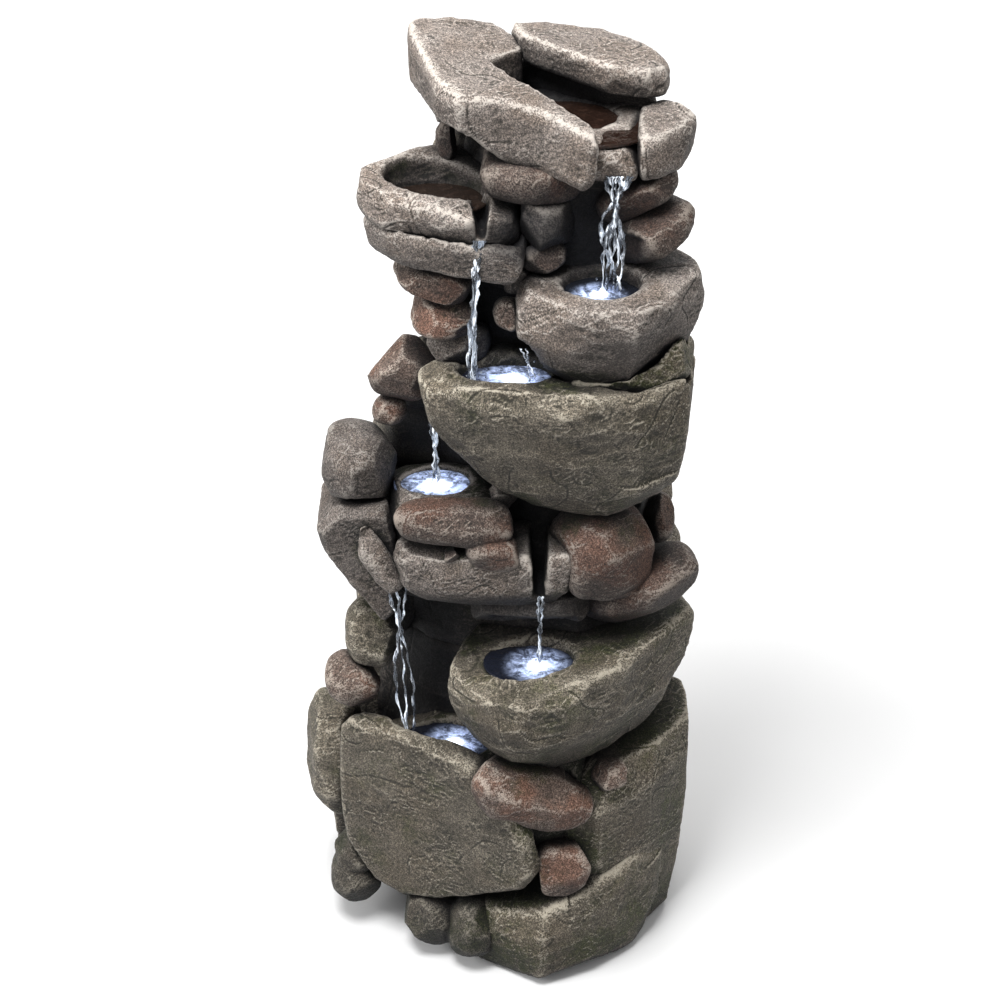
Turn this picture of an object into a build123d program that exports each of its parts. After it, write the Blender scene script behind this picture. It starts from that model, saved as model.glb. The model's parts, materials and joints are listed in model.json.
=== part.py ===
from build123d import *
import math
import os
import random

# Tiered rock fountain. Millimetres, +Z up, the front of the fountain faces -Y.
# The origin is the middle of the footprint, on the surface the fountain stands on.

# ---------------------------------------------------------------- driving dimensions
FOOT_HEIGHT = 4.0
WALL = 20.0                 # wall of the hollow column
RESERVOIR_TOP = 112.0       # top of the water reservoir section
LOWER_TOP = 330.0           # top of the lower column section
MIDDLE_TOP = 620.0          # top of the middle column section
UPPER_TOP = 884.0           # top of the upper column section
FLOOR_THICK = 14.0

DOOR_WIDTH, DOOR_HEIGHT, DOOR_THICK = 136.0, 140.0, 10.0
DOOR_BOTTOM = 128.0
DOOR_GAP = 1.5
REAR_FACE = 163.0           # flat landing that the access door sits on, along +Y

LANDING_TOP = 292.0         # the landing runs from the ground up to here
FRAME_HALF, FRAME_BOTTOM, FRAME_BACK = 88.0, 116.0, 148.0
HINGE_Y, HINGE_Z = 168.0, 133.0
PIN_RADIUS, PIN_PLAY = 2.5, 0.06
BUTTON_Z, BUTTON_LENGTH = 278.0, 30.0

PUMP_Y = 80.0
ROTOR_RADIUS = 8.4
SHAFT_RADIUS = 1.5
HOSE_OUTER, HOSE_INNER = 8.0, 6.0
HOSE_TOP = (66.0, 0.0)      # where the hose comes up through the top of the column

LIGHT_RADIUS = 12.0
LIGHT_HEIGHT = 12.0
DUCT_SIZE, DUCT_DROP = 9.0, 12.0
LEAD_RADIUS, LEAD_BEND = 1.6, 5.0
SHELF_TOP = 132.0           # shelf inside the lower column, under the junction block
BLOCK_X, BLOCK_HEIGHT = -76.0, 18.0

DRAIN_X, DRAIN_Z, DRAIN_RADIUS = -44.0, 30.0, 8.0
GLAND_X, GLAND_Z, GLAND_RADIUS, CORD_BORE = 46.0, 98.0, 8.0, 3.5
FOOT_RADIUS = 14.0
FEET = [(-95, 95), (105, 95), (-98, -16), (120, -70), (30, -140)]

# ---------------------------------------------------------------- column sections
# Each level of the column: height, centre x, centre y, and the radius every 30 degrees from +X,
# counter-clockwise.
COLUMN = [
    (FOOT_HEIGHT, 5, 25, [138, 150, 150, 142, 150, 150, 138, 130, 122, 130, 140, 140]),
    (RESERVOIR_TOP, 5, 25, [148, 158, 155, 146, 155, 158, 150, 138, 122, 130, 145, 150]),
    (230, 15, 30, [150, 158, 152, 142, 150, 158, 145, 102, 78, 94, 130, 150]),
    (LOWER_TOP, 20, 35, [146, 150, 145, 138, 142, 146, 132, 104, 82, 92, 136, 146]),
    (430, 20, 38, [140, 146, 140, 128, 136, 140, 120, 92, 82, 96, 128, 140]),
    (530, 22, 38, [140, 140, 134, 124, 130, 134, 112, 80, 66, 80, 118, 138]),
    (MIDDLE_TOP, 34, 36, [130, 132, 126, 118, 122, 126, 112, 90, 80, 86, 110, 128]),
    (750, 56, 30, [108, 116, 114, 108, 112, 112, 104, 90, 82, 80, 86, 104]),
    (UPPER_TOP, 68, 22, [84, 92, 96, 96, 100, 104, 98, 80, 74, 74, 80, 84]),
]


def ring_points(level, shrink=0.0):
    """Corners of one level of the column, drawn in by shrink."""
    height, cx, cy, radii = level
    corners = []
    for step, radius in enumerate(radii):
        angle = math.radians(30 * step)
        reach = radius - shrink
        corners.append((cx + reach * math.cos(angle), cy + reach * math.sin(angle), height))
    return corners


def polygon(points):
    return Face(Wire.make_polygon([Vector(*p) for p in points], close=True))


def faceted(rings):
    """Closed solid through a stack of rings with equally many corners, with flat facets only."""
    faces = [polygon(rings[0]), polygon(rings[-1])]
    count = len(rings[0])
    for low, high in zip(rings, rings[1:]):
        for i in range(count):
            j = (i + 1) % count
            faces.append(polygon([low[i], low[j], high[j]]))
            faces.append(polygon([low[i], high[j], high[i]]))
    solid = Solid(Shell(faces))
    return solid if solid.volume > 0 else Solid(solid.wrapped.Reversed())


def slab(outline, layers, tilt=(0, 0)):
    """Stone from a plan outline. layers are (height, scale, shift x, shift y) from the bottom up,
    and tilt is the rise per millimetre of x and of y."""
    cx = sum(x for x, _ in outline) / len(outline)
    cy = sum(y for _, y in outline) / len(outline)
    rings = []
    for height, scale, *shift in layers:
        dx, dy = shift if shift else (0, 0)
        ring = []
        for x, y in outline:
            u, v = (x - cx) * scale, (y - cy) * scale
            ring.append((cx + u + dx, cy + v + dy, height + tilt[0] * u + tilt[1] * v))
        rings.append(ring)
    return faceted(rings)


def boulder(at, half, turn=(0, 0, 0), seed=1, rough=0.08, square=0.8, sides=9):
    """Rounded stone about a centre, from its three half sizes. square under 1 fills out its corners."""
    dice = random.Random(seed)
    rings = []
    for latitude in (-78, -48, -16, 16, 48, 78):
        lat = math.radians(latitude)
        across = math.cos(lat) ** square
        up = math.copysign(abs(math.sin(lat)) ** square, lat)
        ring = []
        for step in range(sides):
            lon = 2 * math.pi * (step + 0.5 * dice.random()) / sides
            reach = across * (1 + rough * (2 * dice.random() - 1))
            u = math.copysign(abs(math.cos(lon)) ** square, math.cos(lon))
            v = math.copysign(abs(math.sin(lon)) ** square, math.sin(lon))
            ring.append((half[0] * reach * u, half[1] * reach * v, half[2] * up))
        rings.append(ring)
    return Location(at, turn) * faceted(rings)


def standing(outline, front, back, turn=0.0, about=(0, 0), inset=0.88):
    """Upright stone: a front-view outline (x, z) between two depths, turned about Z at the point about."""
    cx = sum(x for x, _ in outline) / len(outline)
    cz = sum(z for _, z in outline) / len(outline)
    edge = min(14.0, abs(back - front) / 4)
    rings = []
    for depth, scale in ((back, inset), (back - edge, 1.0), (front + edge, 1.0), (front, inset)):
        rings.append([(cx + (x - cx) * scale, depth, cz + (z - cz) * scale) for x, z in outline])
    pivot = Location((about[0], about[1], 0))
    return pivot * Location((0, 0, 0), (0, 0, turn)) * pivot.inverse() * faceted(rings)


def largest(shape):
    """The biggest solid of a cut stone, so that no crumbs are left."""
    return max(shape.solids(), key=lambda s: s.volume)


def box_between(low, high):
    size = [b - a for a, b in zip(low, high)]
    middle = [(a + b) / 2 for a, b in zip(low, high)]
    return Location(middle) * Box(*size)


def rod(start, end, radius):
    """Round bar between two points that differ along one axis, or along a slant."""
    a, b = Vector(*start), Vector(*end)
    return Solid.make_cylinder(radius, (b - a).length, Plane(origin=a, z_dir=b - a))


# ---------------------------------------------------------------- pools
class Pool:
    """One water basin: its plan ellipse, floor height and rim height, and how far above the rim the
    stone is kept clear of it. A lit pool also has the place of its light and the point inside the
    column where the lead of that light comes out."""

    def __init__(self, centre, half, floor, rim, light=None, entry=None, turn_down=None, clear=50):
        self.centre, self.half, self.floor, self.rim = centre, half, floor, rim
        self.light, self.entry, self.turn_down, self.clear = light, entry, turn_down, clear

    def hollow(self):
        """The space to take out of the stone: a bowl with a flat floor that widens upwards."""
        corners = 14
        outline = []
        for step in range(corners):
            angle = 2 * math.pi * step / corners
            outline.append((self.centre[0] + self.half[0] * math.cos(angle),
                            self.centre[1] + self.half[1] * math.sin(angle)))
        deep = self.rim - self.floor
        levels = [(self.floor, 0.72), (self.floor + 0.35 * deep, 0.9), (self.rim, 1.0),
                  (self.rim + self.clear, 1.1)]
        return slab(outline, levels)

    def ducts(self):
        """The square passages of the lead: down from under the light, then level into the column."""
        (lx, ly), (ex, ey) = self.light, self.entry
        base, half = self.floor - LIGHT_HEIGHT, DUCT_SIZE / 2
        level = base - DUCT_DROP
        drop = box_between((lx - half, ly - half, level - half), (lx + half, ly + half, base + 1))
        along = math.hypot(ex - lx, ey - ly)
        sx, sy = (ey - ly) / along * half, -(ex - lx) / along * half
        ends = []
        for x, y in ((lx, ly), (ex, ey)):
            ends.append([(x - sx, y - sy, level - half), (x + sx, y + sy, level - half),
                         (x + sx, y + sy, level + half), (x - sx, y - sy, level + half)])
        return [drop, faceted(ends)]

    def seat(self):
        """The round recess in the pool floor that holds the light."""
        return rod((*self.light, self.floor - LIGHT_HEIGHT), (*self.light, self.floor + 1), LIGHT_RADIUS)


POOLS = {
    "top": Pool((60, -16), (58, 46), 902, 930, clear=12),
    "upper_left": Pool((-62, -46), (50, 38), 834, 862),
    "right": Pool((96, -92), (41, 36), 742, 778, (94, -98), (86, 50), 255),
    "centre": Pool((4, -92), (46, 30), 648, 684, (14, -96), (10, 34), 240),
    "left": Pool((-66, -48), (39, 30), 498, 544, (-64, -52), (-26, 26), 225),
    "lower_right": Pool((32, -118), (46, 36), 328, 370, (38, -124), (38, 42), 210),
    "basin": Pool((-60, -83), (54, 36), 196, 246, (-48, -86), (-44, 58)),
}
LIT = [pool for pool in POOLS.values() if pool.light]


# ---------------------------------------------------------------- rockwork, from the top down
def spout_cut(x, y_from, y_to, top, bottom, top_width, bottom_width):
    """V-shaped notch that lets the water out of a bowl, running along Y."""
    rings = []
    for depth in (y_from, y_to):
        rings.append([(x - bottom_width / 2, depth, bottom), (x + bottom_width / 2, depth, bottom),
                      (x + top_width / 2, depth, top), (x - top_width / 2, depth, top)])
    return faceted(rings)


def top_tier():
    """The highest bowl, the slabs that form its rim, and the flat stone that shelters it."""
    floor = slab([(84, -95), (128, -93), (136, -50), (152, 10), (118, 62), (20, 62), (-14, 4), (30, -60)],
                 [(885, 0.96), (896, 1.0), (922, 1.0)])
    floor -= spout_cut(111, -130, -50, 950, 914, 36, 33)
    crescent = slab([(-86, 14), (-88, 40), (-48, 66), (-6, 70), (18, 48), (22, 26), (-12, -10),
                     (38, -54), (86, -97),
                     (91, -120), (79, -115), (38, -92), (-2, -88), (-38, -94), (-60, -70)],
                    [(908, 0.88), (920, 0.98), (958, 1.0), (969, 0.97)], tilt=(-0.22, 0.14))
    undercut = [(-120, 860), (10, 860), (6, 900), (-34, 934), (-120, 950)]
    crescent -= faceted([[(x, depth, z) for x, z in undercut] for depth in (-200, 200)])
    right = slab([(128, -96), (149, -86), (177, -58), (185, -34), (170, -8), (150, 2), (134, -14),
                  (130, -50)],
                 [(886, 0.86), (896, 0.98), (922, 1.0), (930, 0.93)], tilt=(0.0, 0.08))
    cap = slab([(11, 54), (36, 70), (96, 74), (138, 50), (162, 10), (158, -18), (140, -30), (104, -29),
                (58, -1),
                (20, 24)],
               [(947, 0.9), (952, 0.99), (969, 1.0), (977, 0.96)], tilt=(-0.14, 0.02))
    support = slab([(20, 58), (60, 78), (120, 66), (154, 34), (154, -4), (136, -10), (112, 8), (62, 34)],
                   [(914, 0.96), (930, 1.0), (956, 0.94)], tilt=(-0.1, 0.0))
    rear = slab([(-72, 40), (-42, 84), (20, 108), (90, 106), (136, 70), (110, 60), (20, 66), (-40, 50)],
                [(884, 0.92), (900, 1.0), (930, 1.0), (940, 0.9)], tilt=(-0.08, 0.0))
    return [
        ("top_crescent_slab", crescent), ("top_right_slab", right), ("top_bowl_floor", floor),
        ("cap_stone", cap), ("cap_support_stone", support), ("top_rear_stone", rear),
    ]


def upper_tier():
    """The upper left bowl, the right bowl, and the red stones between them."""
    left_bowl = slab([(-138, -34), (-134, -74), (-112, -94), (-28, -108), (22, -98), (26, -40),
                      (-20, 24), (-63, 28),
                      (-112, -8)],
                     [(832, 0.93), (842, 0.99), (862, 1.0), (870, 0.97)], tilt=(-0.16, 0.1))
    left_bowl -= spout_cut(-18, -130, -60, 890, 829, 22, 12)
    under = slab([(-132, -66), (-98, -98), (-30, -112), (22, -116), (30, -40), (-50, 10), (-112, -14)],
                 [(796, 0.84), (806, 0.96), (822, 1.0), (834, 0.95)], tilt=(-0.12, 0.06))
    bowl = slab([(16, -92), (18, -118), (40, -136), (84, -150), (124, -154), (156, -128), (192, -78),
                 (194, -42),
                 (176, -18), (110, -10), (48, -30)],
                [(672, 0.48, 8, 10), (704, 0.84, 2, 4), (740, 1.0), (774, 1.0), (782, 0.95)],
                tilt=(0.03, 0.04))
    return [
        ("upper_left_bowl", left_bowl), ("upper_left_under_slab", under), ("right_bowl", bowl),
        ("upper_red_stones", boulder((-48, -2, 884), (11, 20, 27), (0, 6, 6), seed=5)),
        ("upper_red_stones", boulder((34, -64, 878), (54, 32, 17), (0, 4, 6), seed=6, square=0.7)),
        ("upper_red_stones", boulder((-20, -44, 892), (17, 22, 13), (0, 24, 0), seed=7)),
        ("upper_red_stones", boulder((130, -50, 858), (38, 38, 15), (0, -26, -12), seed=8, square=0.7)),
        ("upper_red_stones", boulder((140, -52, 818), (44, 40, 22), (0, -22, -8), seed=9, square=0.7)),
        ("neck_red_stones", boulder((-62, -50, 768), (38, 46, 17), (0, 8, 0), seed=10, square=0.7)),
        ("neck_red_stones", boulder((-54, -52, 733), (32, 42, 16), (0, 6, 0), seed=11, square=0.7)),
        ("neck_red_stones", boulder((38, -68, 800), (28, 26, 12), (0, 0, 0), seed=12)),
        ("neck_red_stones", boulder((18, -78, 730), (17, 24, 30), (0, -24, 0), seed=13)),
        ("neck_grey_stones", boulder((-40, -48, 702), (32, 40, 22), (0, -4, 0), seed=14)),
        ("neck_grey_stones", boulder((20, -62, 775), (22, 22, 18), (0, 10, 0), seed=15)),
        ("neck_grey_stones", slab([(14, -94), (48, -90), (74, -72), (76, -36), (20, -30)],
                                  [(804, 0.9), (818, 1.0), (846, 0.98), (854, 0.9)], tilt=(-0.1, 0.0))),
        ("right_shoulder_stone", slab([(70, -122), (130, -134), (184, -104), (190, -50), (160, 0),
                                       (90, -20), (60, -70)],
                                      [(672, 1.0), (690, 1.0), (722, 0.86)], tilt=(0.08, 0.0))),
    ]


def centre_tier():
    """The big centre bowl, the lit pool left of it, and the stones that carry them."""
    bowl = slab([(-82, -88), (-78, -116), (-50, -132), (-8, -146), (62, -154), (132, -148), (184, -112),
                 (192, -52),
                 (172, 0), (60, -6), (-40, -50), (-66, -62)],
                [(536, 0.4, 40, 6), (574, 0.7, 30, 2), (612, 0.86, 14, 0), (656, 0.98, 2, 0), (682, 1.0),
                 (690, 0.96)],
                tilt=(0.0, 0.04))
    left = slab([(-116, -62), (-98, -94), (-44, -102), (-4, -88), (6, -40), (-28, -6), (-104, -4)],
                [(450, 0.9), (470, 1.0), (535, 1.0), (542, 0.96)])
    ledge = slab([(-108, -98), (-100, -120), (-60, -132), (30, -134), (74, -128), (84, -66), (0, -50),
                  (-90, -60)],
                 [(436, 0.78, 0, 8), (454, 0.94, 0, 2), (484, 1.0), (500, 0.95)], tilt=(0.0, 0.0))
    ledge -= spout_cut(39, -150, -60, 530, 445, 22, 12)
    lean = standing([(-186, 505), (-182, 484), (-150, 436), (-118, 390), (-108, 398), (-104, 490),
                     (-114, 530),
                     (-160, 530)], -92, 20)
    return [
        ("centre_bowl", bowl), ("ledge_stone", ledge), ("left_pool_bowl", left),
        ("left_boulder", boulder((-143, -42, 559), (37, 46, 36), (0, 8, 20), seed=21, square=0.76)),
        ("left_leaning_slab", lean),
        ("middle_grey_stones", boulder((-124, -88, 478), (14, 24, 46), (0, -28, 0), seed=22, square=0.7)),
        ("middle_grey_stones", boulder((2, -78, 534), (26, 18, 13), (0, 38, 0), seed=31)),
        ("middle_grey_stones", boulder((34, -86, 422), (70, 36, 24), (0, -4, 0), seed=32)),
        ("middle_red_stones", boulder((-46, -110, 529), (60, 26, 18), (0, 4, 0), seed=23, square=0.7)),
        ("middle_red_stones", boulder((-6, -124, 500), (27, 20, 13), (0, 2, 0), seed=24)),
        ("middle_red_stones", boulder((-44, -126, 502), (14, 14, 9), (0, 0, 0), seed=25)),
        ("middle_red_stones", boulder((102, -84, 484), (50, 50, 42), (0, 10, 20), seed=26, square=0.66,
                                      sides=7)),
        ("middle_red_stones", boulder((162, -50, 498), (14, 26, 21), (0, 10, 0), seed=27)),
        ("middle_red_stones", boulder((142, -70, 432), (66, 42, 22), (0, -22, -6), seed=28, square=0.7)),
        ("upper_left_red_stones", boulder((-97, -28, 658), (31, 32, 31), (0, 10, 14), seed=29,
                                          square=0.66, sides=7)),
        ("upper_left_red_stones", boulder((-112, -30, 616), (17, 20, 12), (0, 0, 0), seed=30)),
    ]


def lower_tier():
    """The lower right bowl and the stones on the left of the open cascade."""
    bowl = slab([(-56, -104), (-52, -134), (-30, -160), (-2, -188), (32, -196), (76, -180), (124, -144),
                 (168, -98),
                 (204, -56), (190, -10), (110, 0), (0, -30), (-44, -50)],
                [(250, 0.54, 18, 16), (290, 0.84, 6, 6), (338, 0.98), (364, 1.0), (374, 0.96)],
                tilt=(0.13, 0.02))
    return [
        ("lower_right_bowl", bowl),
        ("left_lower_stones", boulder((-132, -40, 360), (28, 38, 34), (0, 8, 0), seed=41, square=0.74)),
        ("left_lower_red_stone", boulder((-156, -56, 306), (28, 34, 22), (0, 10, 0), seed=42)),
        ("left_lower_stones", boulder((-72, -34, 432), (36, 30, 32), (0, 0, 0), seed=43)),
    ]


def base_tier():
    """Everything that stands around the reservoir."""
    front = standing([(-175, 222), (-172, 262), (-161, 275), (-97, 280), (-15, 264), (20, 234),
                      (51, 180), (58, 143),
                      (43, 120), (-52, 75), (-101, 62), (-138, 72), (-168, 117), (-175, 168)],
                     -91, -60, turn=-26.6, about=(-169, -91), inset=0.95)
    toe = slab([(-34, -140), (-8, -172), (44, -194), (96, -172), (150, -126), (176, -82), (120, -60),
                (0, -90)],
               [(-30, 0.84), (8, 0.98), (68, 0.98), (98, 0.84)], tilt=(0.32, 0.0))
    right = slab([(64, -150), (104, -156), (160, -112), (204, -56), (204, 24), (150, 60), (96, 0)],
                 [(FOOT_HEIGHT, 0.72), (60, 0.85), (140, 0.96), (206, 0.98), (244, 0.78, 12, 16)],
                 tilt=(0.05, 0.05))
    basin = slab([(-128, -56), (-104, -96), (-52, -128), (2, -136), (14, -60), (-16, -28), (-112, -16)],
                 [(140, 0.94), (170, 1.0), (236, 1.0), (244, 0.97)])
    return [
        ("front_slab", front), ("front_toe_stone", toe), ("right_base_slab", right), ("basin_bowl",
                                                                                      basin),
        ("left_base_boulder", boulder((-180, -16, 186), (28, 56, 64), (0, 4, 8), seed=51, square=0.66)),
        ("base_red_stones", boulder((31, -149, 224), (72, 34, 27), (0, 20, 10), seed=52, square=0.7)),
        ("base_red_stones", boulder((112, -128, 230), (20, 22, 15), (0, -24, 0), seed=53)),
        ("base_red_stones", boulder((64, -158, 136), (29, 26, 30), (0, 10, 0), seed=54)),
        ("base_grey_stones", boulder((62, -106, 168), (54, 40, 74), (0, 0, 20), seed=59, square=0.7)),
        ("base_grey_stones", boulder((-158, -60, 86), (22, 36, 19), (0, 0, 0), seed=55)),
        ("base_grey_stones", boulder((-156, -64, 52), (27, 40, 22), (0, 0, 0), seed=56)),
        ("base_grey_stones", boulder((-74, -115, 38), (34, 38, 30), (0, 10, 0), seed=57)),
        ("base_grey_stones", boulder((-28, -142, 42), (26, 34, 34), (0, 10, 10), seed=58)),
    ]


def rear_stones():
    """The stacked stones of the back and the sides, which leave the door and the drain clear."""
    return [
        ("rear_left_base_slab", slab([(-190, 30), (-170, 120), (-112, 186), (-94, 188), (-94, 120),
                                      (-120, 20)],
                                     [(FOOT_HEIGHT, 0.92), (60, 1.0), (180, 0.98), (236, 0.82)],
                                     tilt=(0.0, -0.1))),
        ("rear_right_base_slab", slab([(198, 40), (176, 128), (122, 184), (98, 188), (98, 120),
                                       (140, 30)],
                                      [(FOOT_HEIGHT, 0.92), (60, 1.0), (150, 0.98), (200, 0.84)],
                                      tilt=(0.0, -0.1))),
        ("rear_lintel_stone", slab([(-104, 110), (-96, 176), (-30, 190), (60, 188), (120, 170),
                                    (128, 100)],
                                   [(300, 0.92), (316, 1.0), (356, 1.0), (372, 0.9)], tilt=(0.03, 0.0))),
        ("rear_left_stones", boulder((-116, 104, 282), (48, 54, 42), (0, 6, 24), seed=61, square=0.66)),
        ("rear_left_stones", boulder((-96, 96, 420), (44, 56, 46), (0, 0, 10), seed=62, square=0.66)),
        ("rear_left_stones", boulder((-84, 60, 560), (42, 60, 52), (0, 8, 0), seed=63, square=0.66)),
        ("rear_left_stones", boulder((-42, 66, 690), (44, 56, 44), (0, 4, 0), seed=64, square=0.66)),
        ("rear_left_stones", boulder((-116, 44, 348), (38, 46, 34), (0, -6, 0), seed=71, square=0.68)),
        ("rear_left_stones", boulder((-100, 44, 492), (38, 46, 30), (0, 6, 0), seed=72, square=0.68)),
        ("rear_left_stones", boulder((-66, 30, 622), (40, 44, 28), (0, 4, 0), seed=73, square=0.68)),
        ("rear_left_stones", boulder((-30, 52, 766), (42, 50, 36), (0, 6, 0), seed=74, square=0.66)),
        ("rear_left_stones", boulder((-22, 48, 842), (46, 46, 34), (0, -4, 0), seed=75, square=0.66)),
        ("rear_right_stones", boulder((144, 76, 262), (52, 64, 46), (0, -6, -20), seed=65, square=0.66)),
        ("rear_right_stones", boulder((142, 60, 386), (48, 64, 52), (0, 4, 0), seed=66, square=0.66)),
        ("rear_right_stones", boulder((124, 60, 560), (42, 62, 60), (0, -4, 0), seed=67, square=0.66)),
        ("rear_right_stones", boulder((140, 40, 700), (40, 56, 44), (0, 4, 0), seed=68, square=0.66)),
        ("rear_right_stones", boulder((158, 24, 322), (40, 52, 34), (0, 8, 0), seed=81, square=0.68)),
        ("rear_right_stones", boulder((138, 30, 474), (42, 58, 34), (0, -8, 0), seed=82, square=0.68)),
        ("rear_right_stones", boulder((146, 20, 634), (44, 54, 28), (0, 6, 0), seed=83, square=0.68)),
        ("rear_right_stones", boulder((134, 34, 778), (38, 48, 36), (0, -6, 0), seed=84, square=0.66)),
        ("rear_right_stones", boulder((124, 44, 848), (46, 44, 32), (0, 4, 0), seed=85, square=0.66)),
        ("rear_slabs", slab([(-50, 120), (-40, 168), (30, 182), (96, 164), (110, 110)],
                            [(376, 0.9), (392, 1.0), (470, 0.98), (484, 0.9)], tilt=(-0.05, -0.04))),
        ("rear_slabs", slab([(-44, 110), (-30, 160), (50, 170), (100, 150), (112, 100)],
                            [(488, 0.9), (504, 1.0), (590, 0.96), (604, 0.86)], tilt=(0.06, -0.04))),
        ("rear_slabs", slab([(-20, 100), (-8, 148), (60, 158), (118, 136), (130, 90)],
                            [(610, 0.9), (624, 1.0), (700, 0.96), (716, 0.86)], tilt=(-0.04, -0.04))),
        ("rear_slabs", slab([(-6, 90), (10, 134), (80, 142), (134, 112), (140, 70)],
                            [(720, 0.9), (734, 1.0), (808, 0.96), (824, 0.86)], tilt=(0.05, -0.04))),
        ("rear_slabs", slab([(-30, 70), (0, 118), (80, 128), (146, 92), (150, 50)],
                            [(828, 0.9), (840, 1.0), (870, 1.0), (880, 0.92)], tilt=(-0.03, 0.0))),
    ]


def raw_stones():
    """Every stone before it is cut to its neighbours, with those that keep their full shape first."""
    return top_tier() + upper_tier() + centre_tier() + lower_tier() + base_tier() + rear_stones()


# ---------------------------------------------------------------- column
def envelope():
    """The column as a solid block, with a flat landing down its rear for the door, drain and gland."""
    block = faceted([ring_points(level) for level in COLUMN])
    return block - box_between((-200, REAR_FACE, 0), (200, 300, LANDING_TOP))


def cavity():
    """The dry space inside the column, closed by the reservoir floor and by the top of the column."""
    room = faceted([ring_points(level, WALL) for level in COLUMN])
    room -= box_between((-300, -300, 0), (300, 300, FOOT_HEIGHT + FLOOR_THICK))
    return room - box_between((-300, -300, UPPER_TOP - FLOOR_THICK), (300, 300, 1000))


def column_sections(block, room):
    """The four castings stacked on each other, cut from one block, with every hole through their walls."""
    shell = block - room
    shelf = box_between((-135, 10, SHELF_TOP - 8), (-50, 78, SHELF_TOP))
    shell += shelf & room
    for pool in POOLS.values():
        shell -= pool.hollow()
    for pool in LIT:
        for passage in pool.ducts() + [pool.seat()]:
            shell -= passage
    shell -= frame_block()
    shell -= doorway()
    shell -= rod((DRAIN_X, 120, DRAIN_Z), (DRAIN_X, 200, DRAIN_Z), DRAIN_RADIUS)
    shell -= rod((GLAND_X, 120, GLAND_Z), (GLAND_X, 200, GLAND_Z), GLAND_RADIUS)
    shell -= rod((*HOSE_TOP, UPPER_TOP - 40), (*HOSE_TOP, UPPER_TOP + 10), HOSE_OUTER)
    heights = [0, RESERVOIR_TOP, LOWER_TOP, MIDDLE_TOP, 1000]
    names = ["reservoir", "lower_column", "middle_column", "upper_column"]
    sections = {}
    for name, low, high in zip(names, heights, heights[1:]):
        sections[name] = largest(shell & box_between((-300, -300, low), (300, 300, high)))
    return sections


# ---------------------------------------------------------------- door, its frame and its turn button
def frame_block():
    """The space that the door frame takes up in the rear wall of the lower column."""
    return box_between((-FRAME_HALF, FRAME_BACK, FRAME_BOTTOM), (FRAME_HALF, REAR_FACE, LANDING_TOP))


def doorway():
    """The clear opening behind the door, right through the wall."""
    half = DOOR_WIDTH / 2 - 8
    return box_between((-half, 60, DOOR_BOTTOM + 12), (half, 200, DOOR_BOTTOM + DOOR_HEIGHT - 8))


def door_frame():
    """Frame with the two bored ears of the door's hinge and the post of the turn button."""
    frame = frame_block() - doorway()
    for side in (-1, 1):
        near, far = side * (DOOR_WIDTH / 2 + 0.4), side * (DOOR_WIDTH / 2 + 11)
        frame += box_between((min(near, far), REAR_FACE - 6, HINGE_Z - 9),
                             (max(near, far), REAR_FACE + 10, HINGE_Z + 9))
    frame -= rod((-DOOR_WIDTH / 2 - 12, HINGE_Y, HINGE_Z), (DOOR_WIDTH / 2 + 12, HINGE_Y, HINGE_Z),
                 PIN_RADIUS + PIN_PLAY)
    front = REAR_FACE + DOOR_THICK
    frame += rod((0, REAR_FACE - 4, BUTTON_Z), (0, front + 0.6, BUTTON_Z), 7)
    frame += rod((0, REAR_FACE, BUTTON_Z), (0, front + 8.6, BUTTON_Z), PIN_RADIUS)
    frame += rod((0, front + 7.2, BUTTON_Z), (0, front + 9.2, BUTTON_Z), 5.5)
    return largest(frame)


def access_door():
    """Service door: a plate with a half-round foot that turns on two pins, and a finger pull."""
    half = DOOR_WIDTH / 2
    front = REAR_FACE + 0.3
    plate = box_between((-half, front, HINGE_Z), (half, front + DOOR_THICK - 0.6,
                                                  DOOR_BOTTOM + DOOR_HEIGHT))
    foot = rod((-half, HINGE_Y, HINGE_Z), (half, HINGE_Y, HINGE_Z), DOOR_THICK / 2 - 0.3)
    pins = rod((-half - 9, HINGE_Y, HINGE_Z), (half + 9, HINGE_Y, HINGE_Z), PIN_RADIUS)
    door = plate + foot + pins
    panel = box_between((-half + 12, front + 7.4, HINGE_Z + 14),
                        (half - 12, front + 20, DOOR_BOTTOM + DOOR_HEIGHT - 42))
    pull = box_between((-18, front + 4, DOOR_BOTTOM + DOOR_HEIGHT - 33),
                       (18, front + 18, DOOR_BOTTOM + DOOR_HEIGHT - 26))
    return largest(door - panel + pull)


def door_button():
    """Turn button above the door, stored crosswise so that the door is free."""
    low = REAR_FACE + DOOR_THICK + 0.9
    bar = box_between((-8, low, BUTTON_Z - 7), (BUTTON_LENGTH, low + 6, BUTTON_Z + 7))
    bar = fillet(bar.edges().filter_by(Axis.Y), 6)
    return bar - rod((0, 100, BUTTON_Z), (0, 300, BUTTON_Z), PIN_RADIUS + PIN_PLAY)


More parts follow.
